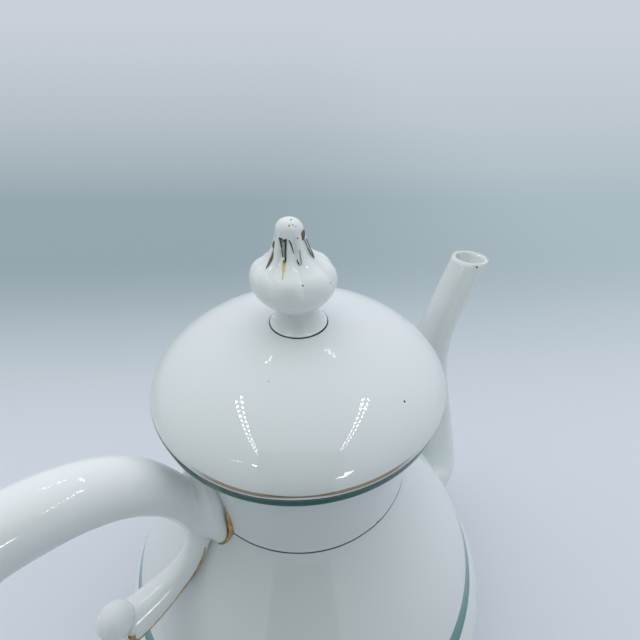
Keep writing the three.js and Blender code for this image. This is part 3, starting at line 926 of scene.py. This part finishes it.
def ball(name, centre, half, materials):
    """Ball, or longer or flatter, from its centre in the XZ plane and its half sizes."""
    bm = bmesh.new()
    bmesh.ops.create_uvsphere(bm, u_segments=BALL_SIDES, v_segments=BALL_RINGS, radius=1)
    bmesh.ops.scale(bm, vec=Vector(half) * MM, verts=bm.verts)
    bmesh.ops.translate(bm, vec=at(centre[0], 0, centre[1]), verts=bm.verts)
    return new_object(name, bm, materials)


def square_off(pad, half):
    """Fills the pad's outline out towards a rounded oblong, seen square to the neck."""
    middle = at(ROOT_CENTRE[0], 0, ROOT_CENTRE[1])
    power = ROOT_SQUARENESS
    for vertex in pad.data.vertices:
        across = (vertex.co.y - middle.y) / (half[1] * MM)
        rise = (vertex.co.z - middle.z) / (half[2] * MM)
        reach = math.hypot(across, rise)
        if reach > TINY:
            square = (abs(across / reach) ** power + abs(rise / reach) ** power) ** (-1 / power)
            vertex.co.y = middle.y + across * square * half[1] * MM
            vertex.co.z = middle.z + rise * square * half[2] * MM


def make_handle(material):
    handle = tube("handle_scrolled", HANDLE_STATIONS, [material], widen=HANDLE_WIDEN)
    for half in (ROOT_HALF, ROOT_RISE_HALF):
        pad = ball("pad", ROOT_CENTRE, half, [material])
        square_off(pad, half)
        combine(handle, pad, "UNION")
    combine(handle, pot_trim(material), "DIFFERENCE")
    blend_seams(handle)
    handle.data.materials.clear()
    handle.data.materials.append(material)
    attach(handle, "pot")
    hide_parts("handle_loop", "handle_scroll")
    knop = ball("scroll_knop", BALL_CENTRE, (BALL_RADIUS,) * 3, [material])
    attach(knop, "pot")
    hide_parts("scroll_ball")


# Gilding on the handle
def wall_radius(height):
    """Outer radius of the pot at a height between its belly and its mouth."""
    return read_off([(z, radius) for radius, z in pot_outside() + [(MOUTH_RADIUS, MOUTH_HEIGHT)]], height)


def wire(name, places, radii, material):
    """Raised line of gilding with its own radius at each place."""
    curve = bpy.data.curves.new(name, "CURVE")
    curve.dimensions = "3D"
    curve.bevel_depth = MM
    curve.use_fill_caps = True
    curve.bevel_resolution = WIRE_BEVEL
    line = curve.splines.new("POLY")
    line.points.add(len(places) - 1)
    for point, place, radius in zip(line.points, places, radii):
        point.co = (*at(*place), 1)
        point.radius = radius
    curve.materials.append(material)
    piece = bpy.data.objects.new(name, curve)
    bpy.context.scene.collection.objects.link(piece)
    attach(piece, "pot")


def root_gilt(side):
    """Places and radii of the gilding in the corner round one side of the handle's root."""
    line = spline(ROOT_GILT, ROOT_GILT_STEPS)
    places = []
    for across, height, radius in line:
        places.append((-math.sqrt(wall_radius(height) ** 2 - across ** 2), side * across, height))
    return places, [radius for across, height, radius in line]


def spur_gilt(side):
    """Places and radii of the gilt line along one side of the spur."""
    handle = spline(HANDLE_STATIONS, BAR_STEPS)
    start = next(
        index for index, (x, z, radius) in enumerate(handle)
        if z < SPUR_GILT_TOP and x > SPUR_GILT_FRONT)
    spur = handle[start:-SPUR_GILT_SHORT]
    turns = spline(SPUR_GILT, SPUR_GILT_STEPS)
    places = []
    radii = []
    for index, (x, z, radius) in enumerate(spur):
        before = spur[max(index - 1, 0)]
        after = spur[min(index + 1, len(spur) - 1)]
        forwards = Vector((after[0] - before[0], after[1] - before[1])).normalized()
        share = index / (len(spur) - 1)
        turn = min(turns, key=lambda row: abs(row[0] - share))
        angle = math.radians(turn[1])
        reach = radius - turn[2] * GILT_SINK
        drop = math.sin(angle) * reach
        across = math.cos(angle) * reach * HANDLE_WIDEN
        places.append((x - forwards.y * drop, side * across, z + forwards.x * drop))
        radii.append(turn[2])
    return places, radii


def make_gilding(material):
    for side, end in ((-1, "near"), (1, "far")):
        wire("gilt_root_" + end, *root_gilt(side), material)
        wire("gilt_spur_" + end, *spur_gilt(side), material)


# Lid with its knob
def make_lid(material):
    lid = lathe("lid_dome_and_flange", lid_outline(), [material])
    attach(lid, "lid")
    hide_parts("lid_dome", "lid_flange")


def knob_shape(radius, height, angle):
    """Radius of the knob with its lobes, which swell over the bulb and fade towards the tip."""
    level = height - RIM_HEIGHT
    wave = abs(math.cos((angle - LOBE_TURN) * LOBE_COUNT / 2)) - 1
    shown = ramp(level, *LOBE_SWELL) * ramp(level, *LOBE_FADE) * ramp(radius, 0, LOBE_FULL_RADIUS)
    return radius + LOBE_DEPTH * wave * shown


def lean_knob(knob):
    """Shifts the knob sideways as its clay was set, more so towards its tip."""
    bend = spline(KNOB_LEAN, LEAN_STEPS)
    for vertex in knob.data.vertices:
        shift = read_off(bend, vertex.co.z / MM - RIM_HEIGHT)
        vertex.co.x += shift * RIGHTWARDS[0] * MM
        vertex.co.y += shift * RIGHTWARDS[1] * MM


def make_knob(material):
    curve = spline(KNOB_OUTLINE, KNOB_CURVE_STEPS)
    outline = [(max(radius, 0), RIM_HEIGHT + height) for radius, height in curve]
    foot = (0, outline[0][1])
    tip = (0, outline[-1][1])
    knob = lathe("lid_knob_fluted", [foot, *outline[:-1], tip], [material], knob_shape, KNOB_STEPS)
    lean_knob(knob)
    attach(knob, "lid")
    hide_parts("lid_knob", "knob_finial")
    return knob


def on_knob(tree, turn, level):
    """Outermost place on the knob at a turn round the axis and a height above the rim."""
    outward = Vector((math.cos(math.radians(turn)), math.sin(math.radians(turn)), 0))
    start = at(0, 0, RIM_HEIGHT + level) + outward * KNOB_REACH * MM
    return tree.ray_cast(start, -outward)[0]


def stroke(bm, tree, points, paint):
    """Thin raised ribbon of paint that follows the surface in the tree."""
    line = spline(points, STROKE_STEPS)
    places = [on_knob(tree, turn, level) for turn, level, width in line]
    rings = []
    for index, (turn, level, width) in enumerate(line):
        forwards = places[min(index + 1, len(line) - 1)] - places[max(index - 1, 0)]
        foot, normal, face, distance = tree.find_nearest(places[index])
        across = normal.cross(forwards).normalized() * width / 2 * MM
        ring = []
        for side, lift in STROKE_EDGES:
            edge, slope, face, distance = tree.find_nearest(foot + across * side)
            ring.append(bm.verts.new(edge + slope * lift * MM))
        rings.append(ring)
    skin(bm, rings, paint)


def make_strokes(knob):
    """Worn gilding and dark lines in the knob's flutes."""
    paints = {
        "brown": gilding("stroke_brown", *BROWN_GILDING),
        "bright": gilding("stroke_bright", *BRIGHT_GILDING),
        "dark": plain("stroke_dark", *DARK_PAINT),
        "grey": plain("stroke_grey", *GREY_PAINT),
    }
    names = list(paints)
    places = [vertex.co for vertex in knob.data.vertices]
    tree = BVHTree.FromPolygons(places, [tuple(face.vertices) for face in knob.data.polygons])
    bm = bmesh.new()
    for paint, points in KNOB_STROKES:
        stroke(bm, tree, points, names.index(paint))
    bmesh.ops.recalc_face_normals(bm, faces=bm.faces)
    strokes = new_object("knob_strokes", bm, list(paints.values()), smooth=False)
    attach(strokes, "lid")


# Stage: floor, light and camera
def floor_material():
    """Graded tone with painted shade: dark behind the pot and darker on its left, paler in front of it and
    far away.
    """
    nodes = Surface("floor_painted_shade")
    x, y = nodes.split(nodes.place())[:2]
    way = along(nodes, x, y, AWAY)
    side = along(nodes, x, y, RIGHTWARDS)
    # Painted shade: the dark band behind the pot, darker towards the left
    dark = nodes.mix(nodes.smooth(side, *FLOOR_SIDE), FLOOR_PAINTED_SHADE, FLOOR_PAINTED_HALF_SHADE)
    skewed = nodes.math("MULTIPLY_ADD", side, FLOOR_SKEW, way)
    colour = nodes.mix(nodes.smooth(skewed, *FLOOR_FADE), FLOOR_NEAR, dark)
    beyond = nodes.math("MAXIMUM", way, FLOOR_LIGHTEN)
    far = nodes.math("SUBTRACT", 1, nodes.math("DIVIDE", FLOOR_LIGHTEN, beyond))
    nodes.set(Base_Color=nodes.mix(far, colour, FLOOR_FAR), Roughness=FLOOR_ROUGHNESS)
    return nodes.material


def make_floor():
    bm = bmesh.new()
    bmesh.ops.create_grid(bm, x_segments=1, y_segments=1, size=FLOOR_HALF * MM)
    floor = new_object("floor", bm, [floor_material()], smooth=False)


def glow(name, strength):
    nodes = Surface(name)
    nodes.set(Base_Color=(0, 0, 0, 1), Emission_Color=(1, 1, 1, 1), Emission_Strength=strength)
    return nodes.material


def overhead(bm, first, second, width):
    """Flat oblong above the pot between two places given forwards and sideways."""
    forwards = (second - first).normalized()
    across = Vector((-forwards.y, forwards.x)) * width / 2
    corners = []
    for away, right in (first + across, first - across, second - across, second + across):
        x = away * AWAY[0] + right * RIGHTWARDS[0]
        y = away * AWAY[1] + right * RIGHTWARDS[1]
        corners.append(bm.verts.new(at(x, y, STRIP_HEIGHT)))
    bm.faces.new(corners)


def hang(name, bm, material):
    """Adds a lit shape to the scene that only shows as a reflection in the glaze."""
    piece = new_object(name, bm, [material], smooth=False)
    piece.visible_camera = False
    piece.visible_diffuse = False
    piece.visible_shadow = False


def make_strips():
    """Zigzag strings of small lamps and a few larger lit patches."""
    bm = bmesh.new()
    for start, end in STRIP_LINES:
        start = Vector(start)
        end = Vector(end)
        forwards = (end - start).normalized()
        across = Vector((-forwards.y, forwards.x))
        steps = int((end - start).length / STRIP_STEP)
        for step in range(steps):
            spread = STRIP_SPREAD[0] + (STRIP_SPREAD[1] - STRIP_SPREAD[0]) * step / steps
            width = STRIP_DOT[1] * spread / STRIP_SPREAD[1]
            for side, lag in ((-1, 0), (1, STRIP_STEP / 2)):
                first = start + forwards * (STRIP_STEP * step + lag) + across * side * spread
                overhead(bm, first, first + forwards * STRIP_DOT[0], width)
    hang("light_strips", bm, glow("strip_glow", STRIP_STRENGTH))
    bm = bmesh.new()
    for centre, size in LIGHT_PATCHES:
        half = Vector((size[0] / 2, 0))
        overhead(bm, Vector(centre) - half, Vector(centre) + half, size[1])
    hang("light_patches", bm, glow("patch_glow", PATCH_STRENGTH))


def make_cards():
    """Cards square to the camera's right, the near one tilted like the camera and the far one upright."""
    forward = Vector(CAMERA_FORWARD).normalized()
    right = Vector(CAMERA_RIGHT).normalized()
    above = right.cross(forward)
    lens = Vector(CAMERA_FROM_AXIS)
    near = lens - forward * NEAR_CARD_BACK - above * NEAR_CARD_DROP
    far = lens - Vector((*AWAY, 0)) * FAR_CARD_BACK
    far.z = FAR_CARD_SIZE[1] / 2 + FAR_CARD_LIFT
    material = plain("dark_card", *CARD_SURFACE)
    cards = [
        ("near_card", near, above, NEAR_CARD_SIZE),
        ("far_card", far, Vector((0, 0, 1)), FAR_CARD_SIZE),
    ]
    for name, centre, up, (width, height) in cards:
        bm = bmesh.new()
        corners = []
        for side, rise in ((-1, -1), (1, -1), (1, 1), (-1, 1)):
            corner = centre + right * side * width / 2 + up * rise * height / 2
            corners.append(bm.verts.new(at(*corner)))
        bm.faces.new(corners)
        card = new_object(name, bm, [material], smooth=False)
        card.visible_camera = False


def make_lights():
    """World that lights from all round and shows one backdrop colour to the camera and in the glaze."""
    world = bpy.data.worlds.new("studio")
    bpy.context.scene.world = world
    nodes = Nodes(world)
    way = nodes.add("TexCoord").outputs["Generated"]
    sky = []
    for up, away, right in SKY:
        x = away * AWAY[0] + right * RIGHTWARDS[0]
        y = away * AWAY[1] + right * RIGHTWARDS[1]
        light = nodes.add("VectorMath", way, (x, y, up), operation="DOT_PRODUCT").outputs["Value"]
        sky.append(nodes.math("MAXIMUM", light, SKY_LEAST))
    seen = nodes.add("LightPath").outputs
    mask = seen["Is Camera Ray"]
    for ray in ("Is Glossy Ray", "Is Transmission Ray"):
        mask = nodes.math("MAXIMUM", mask, seen[ray])
    colour = nodes.mix(mask, nodes.add("CombineColor", *sky).outputs[0], BACKDROP)
    background = nodes.tree.nodes["Background"]
    nodes.put(background.inputs["Color"], colour)
    nodes.put(background.inputs["Strength"], 1)


def make_camera():
    data = bpy.data.cameras.new("camera")
    data.sensor_width = SENSOR_WIDTH
    data.lens = FOCAL_PIXELS * SENSOR_WIDTH / PHOTO_PIXELS
    data.clip_start = CLIP_START * MM
    camera = bpy.data.objects.new("camera", data)
    bpy.context.scene.collection.objects.link(camera)
    right = Vector(CAMERA_RIGHT).normalized()
    back = -Vector(CAMERA_FORWARD).normalized()
    up = back.cross(right).normalized()
    right = up.cross(back)
    turn = Matrix((right, up, back)).transposed().to_4x4()
    camera.matrix_world = Matrix.Translation(at(*CAMERA_FROM_AXIS)) @ turn
    bpy.context.scene.camera = camera


make_camera()
make_lights()
make_floor()
make_strips()
make_cards()
make_pot(glaze("pot_glaze", paint_pot), plain("bare_porcelain", *BARE_PORCELAIN))
make_spout(glaze("spout_glaze", paint_spout))
# The handle and the knob get the lighter porcelain, which is painted light
make_handle(glaze("handle_glaze", paint_handle, PAINTED_LIGHT_PORCELAIN))
make_lid(glaze("lid_glaze", paint_lid))
make_strokes(make_knob(glaze("knob_glaze", paint_knob, PAINTED_LIGHT_PORCELAIN)))
make_gilding(gilding("worn_gilding", *WORN_GILDING))

bpy.context.scene.view_settings.view_transform = "Standard"
